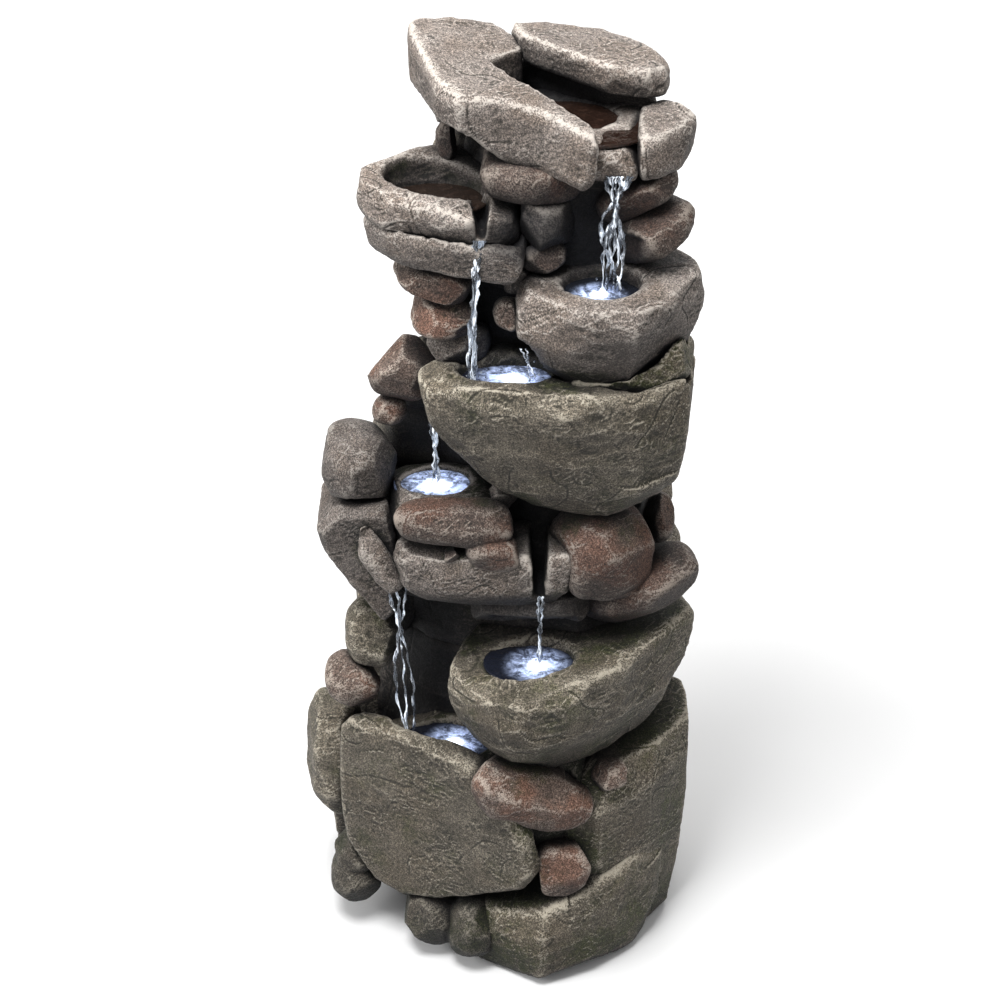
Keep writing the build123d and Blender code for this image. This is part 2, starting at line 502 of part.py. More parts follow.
# ---------------------------------------------------------------- pump
def pump_parts():
    """Submersible pump: motor block, cover with its outlet, rotor on its shaft, dial and suction feet."""
    floor = FOOT_HEIGHT + FLOOR_THICK
    py, pz = PUMP_Y, floor + 28
    motor = box_between((-14, py - 23, floor + 6), (46, py + 23, floor + 50))
    motor = fillet(motor.edges().filter_by(Axis.X), 6)
    motor -= rod((-14, py, pz), (19, py, pz), ROTOR_RADIUS + 0.6)
    motor -= rod((19, py, pz), (25, py, pz), SHAFT_RADIUS)
    motor -= rod((16, py, floor + 43), (16, py, floor + 60), PIN_RADIUS + PIN_PLAY)
    cover = box_between((-32, py - 21, floor + 8), (-14, py + 21, floor + 48))
    cover = fillet(cover.edges().filter_by(Axis.X), 6)
    cover += rod((-23, py, floor + 40), (-23, py, floor + 56), 8.6)
    cover += rod((-23, py, floor + 56), (-23, py, floor + 72), HOSE_INNER)
    cover -= rod((-28, py, pz), (-14, py, pz), 17)
    cover -= rod((-23, py, pz), (-23, py, floor + 80), 4.2)
    for row in range(-2, 3):
        cover -= box_between((-40, py - 12, pz + 5 * row - 1.2), (-27, py + 12, pz + 5 * row + 1.2))
    rotor = rod((-15, py, pz), (16, py, pz), ROTOR_RADIUS) + rod((-17, py, pz), (-15, py, pz), 14)
    rotor += rod((-26, py, pz), (-17, py, pz), 4)
    for blade in range(6):
        paddle = box_between((-25, -1, 3), (-16.5, 1, 13.5))
        rotor += Location((0, py, pz), (60 * blade, 0, 0)) * paddle
    rotor -= rod((-40, py, pz), (40, py, pz), SHAFT_RADIUS + PIN_PLAY)
    shaft = rod((-26.5, py, pz), (25, py, pz), SHAFT_RADIUS)
    dial = rod((16, py, floor + 50.4), (16, py, floor + 55), 11) + rod((16, py, floor + 44),
                                                                       (16, py, floor + 51), PIN_RADIUS)
    dial += box_between((6.5, py - 1.6, floor + 54), (25.5, py + 1.6, floor + 59))
    feet = []
    for x in (-4, 36):
        for y in (py - 14, py + 14):
            feet.append(rod((x, y, floor), (x, y, floor + 6), 7))
    return {"pump_motor": motor, "pump_cover": cover, "pump_rotor": rotor, "pump_shaft": shaft,
            "flow_dial": dial, "pump_suction_feet": feet}


def swept(points, bend, radius, hole=0.0):
    """A round cord or hose through the points, with tangent bends."""
    path = FilletPolyline(*points, radius=bend)
    start = Plane(origin=path @ 0, z_dir=path % 0)
    body = sweep(start * Circle(radius), path)
    return body - sweep(start * Circle(hole), path) if hole else body


def riser():
    """The hose from the pump up the column, and the nozzle it feeds in the top bowl."""
    foot = FOOT_HEIGHT + FLOOR_THICK + 56
    top = POOLS["top"].floor - 8
    hose = swept([(-23, PUMP_Y, foot), (-23, PUMP_Y, 380), (*HOSE_TOP, 720), (*HOSE_TOP, top)], 60,
                 HOSE_OUTER, HOSE_INNER)
    nozzle = rod((*HOSE_TOP, top), (*HOSE_TOP, top + 14), HOSE_OUTER) + rod((*HOSE_TOP, top + 8),
                                                                            (*HOSE_TOP, top + 11), 13)
    nozzle -= rod((*HOSE_TOP, top - 5), (*HOSE_TOP, top + 30), HOSE_INNER)
    return hose, nozzle


# ---------------------------------------------------------------- lights and wiring
def lights():
    """The five lights: a cup let into the pool floor, and a clear lens in its mouth."""
    cups, lenses = [], []
    for pool in LIT:
        base = pool.floor - LIGHT_HEIGHT
        cup = rod((*pool.light, base), (*pool.light, pool.floor), LIGHT_RADIUS)
        cup -= rod((*pool.light, base + 5), (*pool.light, pool.floor + 1), LIGHT_RADIUS - 2)
        cups.append(cup)
        lenses.append(rod((*pool.light, base + 5), (*pool.light, pool.floor), LIGHT_RADIUS - 2))
    return cups, lenses


def light_leads():
    """One lead from each light through its duct, down the column and into the junction block."""
    runs = []
    for pool in LIT:
        base = pool.floor - LIGHT_HEIGHT
        level = base - DUCT_DROP
        x, y = pool.entry
        points = [(*pool.light, base), (*pool.light, level), (x, y, level)]
        if pool.turn_down:
            points += [(x, y, pool.turn_down), (BLOCK_X, y, pool.turn_down)]
        else:
            points += [(BLOCK_X, y, level)]
        points += [(BLOCK_X, y, SHELF_TOP + BLOCK_HEIGHT)]
        runs.append(swept(points, LEAD_BEND, LEAD_RADIUS))
    return runs


def pump_lead():
    level = SHELF_TOP + 9
    top = FOOT_HEIGHT + FLOOR_THICK + 50
    return swept([(34, 64, top), (34, 64, level), (BLOCK_X + 22, 64, level)], LEAD_BEND, LEAD_RADIUS)


def junction_block():
    block = box_between((BLOCK_X - 22, 14, SHELF_TOP), (BLOCK_X + 22, 72, SHELF_TOP + BLOCK_HEIGHT))
    return fillet(block.edges().filter_by(Axis.Z), 4)


# ---------------------------------------------------------------- rear fittings and feet
def cable_gland():
    """Gland with an open bore for the supply cord: a threaded sleeve in the wall, a flange and a dome."""
    body = rod((GLAND_X, 145, GLAND_Z), (GLAND_X, REAR_FACE, GLAND_Z), GLAND_RADIUS)
    body += rod((GLAND_X, REAR_FACE, GLAND_Z), (GLAND_X, REAR_FACE + 4, GLAND_Z), GLAND_RADIUS + 3)
    body += rod((GLAND_X, REAR_FACE + 4, GLAND_Z), (GLAND_X, REAR_FACE + 15, GLAND_Z), GLAND_RADIUS)
    return body - rod((GLAND_X, 100, GLAND_Z), (GLAND_X, 200, GLAND_Z), CORD_BORE)


def drain_plug():
    """Rubber stopper that pulls straight out of the reservoir wall."""
    plug = rod((DRAIN_X, 149, DRAIN_Z), (DRAIN_X, REAR_FACE + 0.3, DRAIN_Z), DRAIN_RADIUS - 0.05)
    plug += rod((DRAIN_X, REAR_FACE + 0.3, DRAIN_Z), (DRAIN_X, REAR_FACE + 4, DRAIN_Z), DRAIN_RADIUS + 4)
    tab = box_between((DRAIN_X - 2, REAR_FACE + 3, DRAIN_Z - 7),
                      (DRAIN_X + 2, REAR_FACE + 14, DRAIN_Z + 7))
    return plug + tab


def rubber_feet():
    return [rod((x, y, 0), (x, y, FOOT_HEIGHT), FOOT_RADIUS) for x, y in FEET]


# ---------------------------------------------------------------- assembly
def touches(a, b):
    """True when the bounding boxes of two solids meet."""
    p, q = a.bounding_box(), b.bounding_box()
    return all(lo <= hi + 0.01 for lo, hi in (
        (p.min.X, q.max.X), (q.min.X, p.max.X), (p.min.Y, q.max.Y), (q.min.Y, p.max.Y),
        (p.min.Z, q.max.Z), (q.min.Z, p.max.Z)))


def cut_stones(block, nozzle):
    """Cuts every stone to the column, to the fittings and to the stones listed before it."""
    cutters = [pool.hollow() for pool in POOLS.values()]
    for pool in LIT:
        cutters += pool.ducts() + [pool.seat()]
    cutters += [rod((*HOSE_TOP, UPPER_TOP - 1), (*HOSE_TOP, POOLS["top"].floor + 4), HOSE_OUTER)]
    cutters += [box_between((-92, REAR_FACE, 0), (96, 260, LANDING_TOP + 6)), frame_block()]
    cutters += [box_between((-300, -300, -60), (300, 300, FOOT_HEIGHT))]
    placed = []
    for name, stone in raw_stones():
        shape = stone - block
        for tool in cutters:
            if touches(shape, tool):
                shape = shape - tool
        for other, done in placed:
            if touches(shape, done):
                shape = shape - done
        placed.append((name, largest(shape)))
    return placed


def main():
    os.makedirs("parts", exist_ok=True)
    nodes = {}
    block, room = envelope(), cavity()
    nodes.update({name: [solid] for name, solid in column_sections(block, room).items()})
    hose, nozzle = riser()
    for name, solid in cut_stones(block, nozzle):
        nodes.setdefault(name, []).append(solid)
    cups, lenses = lights()
    nodes["door_frame"] = [door_frame()]
    nodes["access_door"] = [access_door()]
    nodes["door_button"] = [door_button()]
    for name, solid in pump_parts().items():
        nodes[name] = solid if isinstance(solid, list) else [solid]
    nodes["riser_hose"] = [hose]
    nodes["top_nozzle"] = [nozzle]
    nodes["light_cups"] = cups
    nodes["light_lenses"] = lenses
    nodes["light_leads"] = light_leads()
    nodes["pump_lead"] = [pump_lead()]
    nodes["junction_block"] = [junction_block()]
    nodes["cable_gland"] = [cable_gland()]
    nodes["drain_plug"] = [drain_plug()]
    nodes["rubber_feet"] = rubber_feet()
    for name, solids in nodes.items():
        shape = solids[0] if len(solids) == 1 else Compound(children=solids)
        shape.label = name
        export_step(shape, f"parts/{name}.step")


if __name__ == "__main__":
    main()
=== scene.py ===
import json
import math
import random
import bmesh
import bpy
import mathutils
import numpy as np
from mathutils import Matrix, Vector


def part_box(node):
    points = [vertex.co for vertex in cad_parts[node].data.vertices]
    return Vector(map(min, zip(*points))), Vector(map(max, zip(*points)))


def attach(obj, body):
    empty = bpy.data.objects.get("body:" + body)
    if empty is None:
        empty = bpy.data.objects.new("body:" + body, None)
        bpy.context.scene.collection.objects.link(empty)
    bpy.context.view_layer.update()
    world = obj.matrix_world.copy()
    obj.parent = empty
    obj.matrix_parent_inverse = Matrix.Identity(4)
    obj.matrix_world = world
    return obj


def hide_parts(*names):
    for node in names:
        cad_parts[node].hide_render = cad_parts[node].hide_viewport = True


# Looks of the tiered rock fountain. Metres, in the frame of the CAD.
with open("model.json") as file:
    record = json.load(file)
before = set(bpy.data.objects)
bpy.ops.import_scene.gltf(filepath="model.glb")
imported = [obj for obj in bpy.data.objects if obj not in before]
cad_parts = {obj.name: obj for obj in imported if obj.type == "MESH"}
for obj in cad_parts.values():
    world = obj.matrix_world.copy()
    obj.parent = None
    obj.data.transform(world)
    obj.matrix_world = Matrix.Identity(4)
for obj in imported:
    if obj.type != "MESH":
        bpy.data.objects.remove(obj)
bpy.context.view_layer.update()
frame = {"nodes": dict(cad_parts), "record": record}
nodes = frame["nodes"]
record = frame["record"]
scene = bpy.context.scene
MM = 0.001
VOXEL, CORE_VOXEL = 0.0038, 0.005       # the grid that each stone is remeshed on
FLOOR_CLEAR = 0.0042                    # no stone is carved lower than this
LIGHT_CLEAR = (0.016, 0.03)             # carving starts and is full this far from a light


# ---------------------------------------------------------------- noise
EDGES = np.array([(1, 1, 0), (-1, 1, 0), (1, -1, 0), (-1, -1, 0), (1, 0, 1), (-1, 0, 1),
                  (1, 0, -1), (-1, 0, -1), (0, 1, 1), (0, -1, 1), (0, 1, -1), (0, -1, -1),
                  (1, 1, 0), (-1, 1, 0), (0, -1, 1), (0, -1, -1)], float)


def lattice_hash(cell, seed):
    start = seed * 2654435761 & 0xFFFFFFFF
    h = cell[:, 0] * 73856093 ^ cell[:, 1] * 19349663 ^ cell[:, 2] * 83492791 ^ start
    h = (h ^ (h >> 13)) * 1274126177 & 0xFFFFFFFF
    return h ^ (h >> 16)


def noise(p, seed):
    """Smooth noise of about -1 to 1 at each row of p, one unit between lattice points."""
    cell = np.floor(p).astype(np.int64)
    f = p - cell
    u = f * f * f * (f * (f * 6 - 15) + 10)
    total = np.zeros(len(p))
    for step in range(8):
        corner = np.array([step & 1, step >> 1 & 1, step >> 2 & 1])
        gradient = EDGES[lattice_hash(cell + corner, seed) & 15]
        weight = np.prod(np.where(corner == 1, u, 1 - u), axis=1)
        total += weight * np.einsum("ij,ij->i", gradient, f - corner)
    return total


def scallops(p, seed, tilt, hollow):
    """Chiselled faces: shallow hollows of random tilt that meet in sharp ridges. Cells are one unit wide."""
    cell = np.floor(p).astype(np.int64)
    height = np.full(len(p), 99.0)
    for step in range(27):
        other = cell + np.array([step % 3 - 1, step // 3 % 3 - 1, step // 9 - 1])
        h = lattice_hash(other, seed)
        jitter = np.stack([(h & 255), (h >> 8 & 255), (h >> 16 & 255)], 1) / 255.0
        away = p - other - jitter
        slope = np.einsum("ij,ij->i", away, EDGES[h >> 5 & 15])
        bowl = hollow * np.einsum("ij,ij->i", away, away)
        height = np.minimum(height, tilt * slope + bowl + (h >> 9 & 63) / 90.0)
    return height


def ease(value, low, high):
    t = np.clip((value - low) / (high - low), 0, 1)
    return t * t * (3 - 2 * t)


# ---------------------------------------------------------------- meshes
def arrays(mesh):
    points = np.empty(len(mesh.vertices) * 3)
    mesh.vertices.foreach_get("co", points)
    normals = np.empty(len(mesh.vertices) * 3)
    mesh.vertex_normals.foreach_get("vector", normals)
    edges = np.empty(len(mesh.edges) * 2, np.int32)
    mesh.edges.foreach_get("vertices", edges)
    return points.reshape(-1, 3), normals.reshape(-1, 3), edges.reshape(-1, 2)


def around(points, edges):
    """The mean of each point's neighbours."""
    a, b = edges[:, 0], edges[:, 1]
    count = np.bincount(a, minlength=len(points)) + np.bincount(b, minlength=len(points))
    mean = np.empty_like(points)
    for axis in range(points.shape[1]):
        column = points[:, axis]
        total = np.bincount(a, column[b], len(points)) + np.bincount(b, column[a], len(points))
        mean[:, axis] = total / np.maximum(count, 1)
    return mean


def relax(points, edges, rounds, strength=0.5):
    for _ in range(rounds):
        points = points + strength * (around(points, edges) - points)
    return points


def put(mesh, points):
    mesh.vertices.foreach_set("co", points.ravel())
    mesh.update()


def temp_object(mesh):
    holder = bpy.data.objects.new("work", mesh)
    scene.collection.objects.link(holder)
    return holder


def modified(mesh, kind, **settings):
    """The mesh after one modifier."""
    holder = temp_object(mesh)
    modifier = holder.modifiers.new("m", kind)
    for key, value in settings.items():
        setattr(modifier, key, value)
    graph = bpy.context.evaluated_depsgraph_get()
    result = bpy.data.meshes.new_from_object(holder.evaluated_get(graph))
    bpy.data.objects.remove(holder)
    return result


def loose_parts(node):
    """One mesh for each separate solid of a CAD node."""
    bm = bmesh.new()
    bm.from_mesh(nodes[node].data)
    bmesh.ops.remove_doubles(bm, verts=bm.verts, dist=1e-6)
    bm.verts.ensure_lookup_table()
    seen, parts = set(), []
    for vert in bm.verts:
        if vert.index in seen:
            continue
        stack, members = [vert], set()
        while stack:
            here = stack.pop()
            if here.index in members:
                continue
            members.add(here.index)
            others = [edge.other_vert(here) for edge in here.link_edges]
            stack.extend(other for other in others if other.index not in members)
        seen |= members
        parts.append(members)
    meshes = []
    for members in parts:
        piece = bm.copy()
        piece.verts.ensure_lookup_table()
        bmesh.ops.delete(piece, geom=[v for v in piece.verts if v.index not in members], context="VERTS")
        mesh = bpy.data.meshes.new(node)
        piece.to_mesh(mesh)
        piece.free()
        meshes.append(mesh)
    bm.free()
    return meshes


# ---------------------------------------------------------------- places read from the record
POOLS = {opening["name"][:-5]: opening["box_m"] for opening in record["physics"]["openings"]
         if opening["name"].endswith("_pool")}
LIGHT_CENTRES = []
for lens in loose_parts("light_lenses"):
    spots = arrays(lens)[0]
    LIGHT_CENTRES.append((spots.min(0) + spots.max(0)) / 2)
LIGHT_CENTRES.sort(key=lambda c: -c[2])
frame_low, frame_high = (np.array(corner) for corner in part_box("door_frame"))


# ---------------------------------------------------------------- rock
STYLES = {
    # cuts and depth: planes struck off. rounds: smoothing. The rest are heights in millimetres.
    "slab": dict(cuts=12, depth=0.002, swell=0.001, rounds=0, broad=0.6, faces=1.8, flakes=1.3, wrinkles=0.45,
                 cracks=0.5),
    "bowl": dict(cuts=24, depth=0.005, swell=0.002, rounds=1, broad=1.8, faces=4.6, flakes=2.0, wrinkles=0.45,
                 cracks=0.6),
    "boulder": dict(cuts=18, depth=0.006, swell=0.004, rounds=2, broad=1.6, faces=2.8, flakes=1.2,
                    wrinkles=0.4, cracks=0.4),
    "red": dict(cuts=14, depth=0.006, swell=0.005, rounds=3, broad=1.8, faces=2.2, flakes=0.9, wrinkles=0.4,
                cracks=0.3),
    "core": dict(cuts=0, depth=0.0, swell=0.005, rounds=1, broad=4.0, faces=5.0, flakes=2.0, wrinkles=0.7,
                 cracks=1.2),
}


def flatten(points, seed, cuts, depth):
    """Planes off the outside of a stone, as if struck from it."""
    dice = np.random.default_rng(seed)
    for _ in range(cuts):
        normal = dice.normal(size=3) * (1, 1, 0.8)
        normal /= np.linalg.norm(normal)
        heights = points @ normal
        limit = heights.max() - depth * dice.uniform(0.4, 1.6)
        points = points - np.clip(heights - limit, 0, None)[:, None] * normal
    return points


def carve(points, normals, seed, style):
    """How far each point of a stone moves along its normal, in metres."""
    mm = points * 1000
    warp = np.stack([noise(mm / 55, seed + k) for k in (1, 2, 3)], 1)
    broad = noise(mm / 80, seed + 4) + 0.4 * noise(mm / 34, seed + 5)
    faces = scallops((mm * (1, 1, 1.35) + 16 * warp) / 66, seed + 6, 0.9, 1.1) - 0.35
    patchy = ease(noise(mm / 45, seed + 13), -0.15, 0.25)
    flakes = (scallops((mm * (1, 1, 1.8) + 12 * warp) / 22, seed + 7, 0.8, 1.0) - 0.3) * patchy
    folds = np.clip(1 - np.abs(noise((mm * (1, 1, 1.9) + 9 * warp) / 13, seed + 8)) * 3, 0, 1)
    wrinkles = folds ** 2 * ease(noise(mm / 38, seed + 14), -0.3, 0.2) + 0.45 * noise(mm / 5, seed + 9)
    veins = noise((mm + 10 * warp) / 46, seed + 10) / 0.03
    cracks = -np.exp(-veins ** 2) * ease(noise(mm / 60, seed + 15), 0.0, 0.2)
    height = style["broad"] * broad + style["faces"] * faces + style["flakes"] * flakes
    return MM * (height + style["wrinkles"] * wrinkles + style["cracks"] * cracks)


# Painted shade, nearly black, in the niches behind the falls: centre x and z, half width, half height, nearest
# y.
NICHES = [(0.078, 0.815, 0.05, 0.05, -0.1), (-0.005, 0.735, 0.036, 0.05, -0.1),
          (-0.08, 0.592, 0.036, 0.05, -0.05), (0.028, 0.52, 0.022, 0.03, -0.09),
          (0.01, 0.425, 0.11, 0.032, -0.18), (-0.078, 0.35, 0.045, 0.1, -0.1),
          (0.06, 0.925, 0.06, 0.03, -0.03), (0.035, 0.832, 0.06, 0.03, -0.18)]
# Painted shade all over: stones made darker than their neighbours of the same rock.
DIM = {"left_boulder": 0.5, "left_leaning_slab": 0.48, "base_grey_stones": 0.58, "right_bowl": 0.3,
       "neck_grey_stones": 0.42,
       "upper_left_under_slab": 0.36, "middle_red_stones": 0.4, "upper_red_stones": 0.42, "ledge_stone": 0.25,
       "left_pool_bowl": 0.35, "front_slab": 0.22, "right_base_slab": 0.2, "front_toe_stone": 0.15,
       "neck_red_stones": 0.1}


def niche_shade(points):
    """How deep the painted shade is in the niches, from 0 to 1."""
    dark = np.zeros(len(points))
    for x, z, wide, tall, front in NICHES:
        spread = ((points[:, 0] - x) / wide) ** 2 + ((points[:, 2] - z) / tall) ** 2
        dark = np.maximum(dark, np.exp(-spread ** 1.5) * ease(points[:, 1], front, front + 0.05))
    return dark * ease(-points[:, 1], -0.08, -0.04)


def near_lights(points):
    gap = np.full(len(points), 1.0)
    for centre in LIGHT_CENTRES:
        gap = np.minimum(gap, np.linalg.norm(points - centre, axis=1))
    return gap


def stone_mesh(source, seed, style, voxel, moss, dim=0.0, inner=None):
    """A carved stone from a plain CAD solid, with its ridges, hollows, moss and painted niche shade as
    attributes.
    """
    look = STYLES[style]
    mesh = modified(source, "REMESH", mode="VOXEL", voxel_size=voxel)
    points, normals, edges = arrays(mesh)
    swell = look["swell"] * ease(near_lights(points), *LIGHT_CLEAR)
    if inner is not None:
        swell = swell * inner(points, normals)
    points = points + normals * swell[:, None]
    points = flatten(points, seed, look["cuts"], look["depth"])
    put(mesh, relax(points, edges, look["rounds"]))
    mesh = modified(mesh, "SUBSURF", levels=1, render_levels=1)
    points, normals, edges = arrays(mesh)
    keep = ease(near_lights(points), *LIGHT_CLEAR)
    if inner is not None:
        keep = keep * inner(points, normals)
    move = carve(points, normals, seed, look) * keep
    base = points
    points = points + normals * move[:, None]
    points[:, 2] = np.maximum(points[:, 2], FLOOR_CLEAR)
    put(mesh, points)
    points, normals, edges = arrays(mesh)
    soft = relax(points, edges, 12)
    relief = np.einsum("ij,ij->i", points - soft, normals) * 1000
    tight = np.einsum("ij,ij->i", points - around(points, edges), normals) * 1000
    ridge = np.clip(0.45 * relief + 3.0 * tight, -1, 1)
    patches = noise(base * 1000 / 55, seed + 11) + 0.5 * noise(base * 1000 / 20, seed + 12)
    green = np.clip(moss + 0.6 * patches - 0.16 + 0.4 * np.clip(-relief, -1, 1) - 0.1 * normals[:, 2], 0, 1)
    # niche_shade: painted shade in the niches, never less than the stone's dim value of painted shade all over.
    for name, values in (("ridge", ridge * 0.5 + 0.5), ("moss", green), ("niche_shade", np.maximum(niche_shade(base), dim))):
        attribute = mesh.attributes.new(name, "FLOAT", "POINT")
        attribute.data.foreach_set("value", values.astype(np.float32))
    mesh.polygons.foreach_set("use_smooth", [True] * len(mesh.polygons))
    return mesh


def joined(meshes, name):
    bm = bmesh.new()
    for mesh in meshes:
        bm.from_mesh(mesh)
    result = bpy.data.meshes.new(name)
    bm.to_mesh(result)
    bm.free()
    return result


def add_piece(name, mesh, material, body="fountain"):
    piece = bpy.data.objects.new(name, mesh)
    scene.collection.objects.link(piece)
    mesh.materials.clear()
    mesh.materials.append(material)
    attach(piece, body)
    return piece


# ---------------------------------------------------------------- materials
class Graph:
    """A material and short names for the nodes in it."""

    def __init__(self, name):
        self.material = bpy.data.materials.new(name)
        self.material.use_nodes = True
        self.tree = self.material.node_tree
        self.shader = self.tree.nodes["Principled BSDF"]
        self.place = self.tree.nodes.new("ShaderNodeTexCoord").outputs["Object"]

    def node(self, kind, inputs, **settings):
        new = self.tree.nodes.new(kind)
        for key, value in settings.items():
            setattr(new, key, value)
        for key, value in inputs.items():
            self.feed(new.inputs[key], value)
        return new

    def feed(self, socket, value):
        if isinstance(value, bpy.types.NodeSocket):
            self.tree.links.new(value, socket)
        elif socket.type == "RGBA" and len(value) == 3:
            socket.default_value = (*value, 1)
        else:
            socket.default_value = value

    def noise(self, scale, detail=3, rough=0.55, kind="FBM", place=None, distortion=0.0):
        inputs = {"Vector": place or self.place, "Scale": scale, "Detail": detail, "Roughness": rough,
                  "Distortion": distortion}
        return self.node("ShaderNodeTexNoise", inputs, noise_type=kind).outputs[0]

    def stretch(self, x, y, z):
        return self.node("ShaderNodeMapping", {"Vector": self.place, "Scale": (x, y, z)}).outputs[0]

    def cells(self, scale, feature="F1", place=None):
        inputs = {"Vector": place or self.place, "Scale": scale}
        return self.node("ShaderNodeTexVoronoi", inputs, feature=feature).outputs[0]

    def attribute(self, name):
        return self.node("ShaderNodeAttribute", {}, attribute_name=name).outputs["Fac"]

    def math(self, operation, a, b=0.0):
        return self.node("ShaderNodeMath", {0: a, 1: b}, operation=operation).outputs[0]

    def step(self, value, low, high, start=0.0, end=1.0):
        inputs = {"Value": value, "From Min": low, "From Max": high, "To Min": start, "To Max": end}
        return self.node("ShaderNodeMapRange", inputs, interpolation_type="SMOOTHSTEP").outputs[0]

    def mix(self, amount, a, b, blend="MIX"):
        new = self.node("ShaderNodeMix", {}, data_type="RGBA", blend_type=blend)
        for index, value in ((0, amount), (6, a), (7, b)):
            self.feed(new.inputs[index], value)
        return new.outputs[2]

    def ramp(self, value, *stops):
        new = self.node("ShaderNodeValToRGB", {"Fac": value})
        while len(new.color_ramp.elements) < len(stops):
            new.color_ramp.elements.new(0.5)
        for element, (spot, colour) in zip(new.color_ramp.elements, stops):
            element.position = spot
            element.color = (*colour, 1)
        return new.outputs[0]

    def bump(self, height, depth, strength=1.0):
        inputs = {"Height": height, "Distance": depth, "Strength": strength}
        self.feed(self.shader.inputs["Normal"], self.node("ShaderNodeBump", inputs).outputs[0])

    def set(self, **values):
        for key, value in values.items():
            self.feed(self.shader.inputs[key.replace("_", " ")], value)
        return self.material


def rock(name, low, middle, high, pale, brown, green=(0.05, 0.062, 0.011), brown_share=0.35):
    """Painted cast stone: mottled body, grain, dry-brushed ridges, moss, and painted shade that darkens the
    creases, hollows, undersides and niches.
    """
    g = Graph(name)
    body = g.ramp(g.noise(24, 6, 0.68), (0.3, low), (0.5, middle), (0.7, high))
    body = g.mix(g.step(g.noise(13, 3, 0.6), 0.46, 0.64, 0.0, brown_share), body, brown)
    shade = g.node("ShaderNodeAmbientOcclusion", {"Distance": 0.1}, samples=6).outputs["AO"]
    damp = g.step(shade, 0.95, 0.35, 0.5, 1.6)
    moss = g.math("MULTIPLY", g.math("MULTIPLY", g.attribute("moss"), damp),
                  g.step(g.noise(130, 4, 0.7), 0.3, 0.6, 0.3, 1.0))
    body = g.mix(g.step(moss, 0.12, 0.6, 0.0, 0.92), body, green)
    grain = g.noise(640, 3, 0.85)
    speck = g.ramp(grain, (0.36, (0.16, 0.155, 0.155)), (0.5, (0.85, 0.85, 0.85)), (0.64, (2.7, 2.6, 2.5)))
    body = g.mix(0.9, body, speck, "MULTIPLY")
    threads = g.noise(60, 8, 0.66, "RIDGED_MULTIFRACTAL", g.stretch(0.8, 0.8, 2.0), 0.8)
    ridge = g.attribute("ridge")
    brushed = g.math("ADD", ridge, g.step(threads, 0.9, 1.7, -0.04, 0.24))
    brushed = g.math("ADD", brushed, g.step(grain, 0.38, 0.62, -0.14, 0.14))
    body = g.mix(g.step(brushed, 0.58, 0.9, 0.0, 0.9), body, pale)
    # Painted shade: the concave creases and hollows are made nearly black.
    body = g.mix(g.step(g.math("ADD", ridge, g.step(threads, 0.2, 0.7, -0.1, 0.0)), 0.44, 0.2, 0.0, 0.85),
                 body, (0.022, 0.02, 0.014))
    normal = g.node("ShaderNodeNewGeometry", {}).outputs["Normal"]
    upward = g.node("ShaderNodeSeparateXYZ", {0: normal}).outputs["Z"]
    # Painted shade: darker on the undersides and a little lighter on the tops, darker where ambient occlusion
    # is low, nearly black in the niches.
    painted_shade = g.math("MULTIPLY", g.step(upward, -0.7, 0.8, 0.3, 1.1), g.step(shade, 0.12, 0.9, 0.04, 1.0))
    painted_shade = g.math("MULTIPLY", painted_shade, g.step(g.attribute("niche_shade"), 0.0, 0.9, 1.0, 0.12))
    body = g.mix(painted_shade, (0.006, 0.006, 0.0075), body)
    height = g.math("ADD", g.math("MULTIPLY", grain, 0.5), g.math("MULTIPLY", threads, 0.3))
    g.bump(g.math("ADD", height, g.noise(210, 4, 0.65)), 0.0015, 0.9)
    return g.set(Base_Color=body, Roughness=g.step(grain, 0.3, 0.7, 0.85, 0.58), Specular_IOR_Level=0.35)


GREY = rock("grey_rock", (0.13, 0.108, 0.094), (0.24, 0.205, 0.182), (0.34, 0.3, 0.272), (0.62, 0.56, 0.5),
            (0.2, 0.145, 0.105))
# The lower stones: mossier than the grey rock, and darker all over as painted shade towards the bottom.
MOSSY_SHADED = rock("mossy_rock", (0.07, 0.062, 0.045), (0.14, 0.122, 0.094), (0.215, 0.19, 0.15), (0.5, 0.45, 0.36),
             (0.13, 0.1, 0.064))
RED = rock("red_rock", (0.068, 0.047, 0.038), (0.125, 0.089, 0.072), (0.2, 0.15, 0.124), (0.46, 0.39, 0.33),
           (0.19, 0.082, 0.048),
           brown_share=0.55)
# The inner column: the rock made nearly black, as painted shade in the gaps between the outer stones.
CORE = rock("core_rock", (0.02, 0.018, 0.018), (0.04, 0.035, 0.032), (0.065, 0.056, 0.05),
            (0.16, 0.135, 0.115), (0.05, 0.034, 0.024))


def plastic(name, colour, rough=0.45, texture=900, depth=0.00012):
    g = Graph(name)
    cloud = g.noise(18, 3, 0.6)
    body = g.mix(g.step(cloud, 0.35, 0.65, 0.0, 0.35), colour, tuple(min(1, c * 1.5 + 0.006) for c in colour))
    worn = g.step(g.node("ShaderNodeNewGeometry", {}).outputs["Pointiness"], 0.52, 0.6, 0.0, 0.4)
    body = g.mix(worn, body, tuple(min(1, c * 2.2 + 0.03) for c in colour))
    grain = g.noise(texture, 2, 0.6)
    g.bump(grain, depth, 0.6)
    return g.set(Base_Color=body, Roughness=g.step(cloud, 0.3, 0.7, rough - 0.08, rough + 0.1))


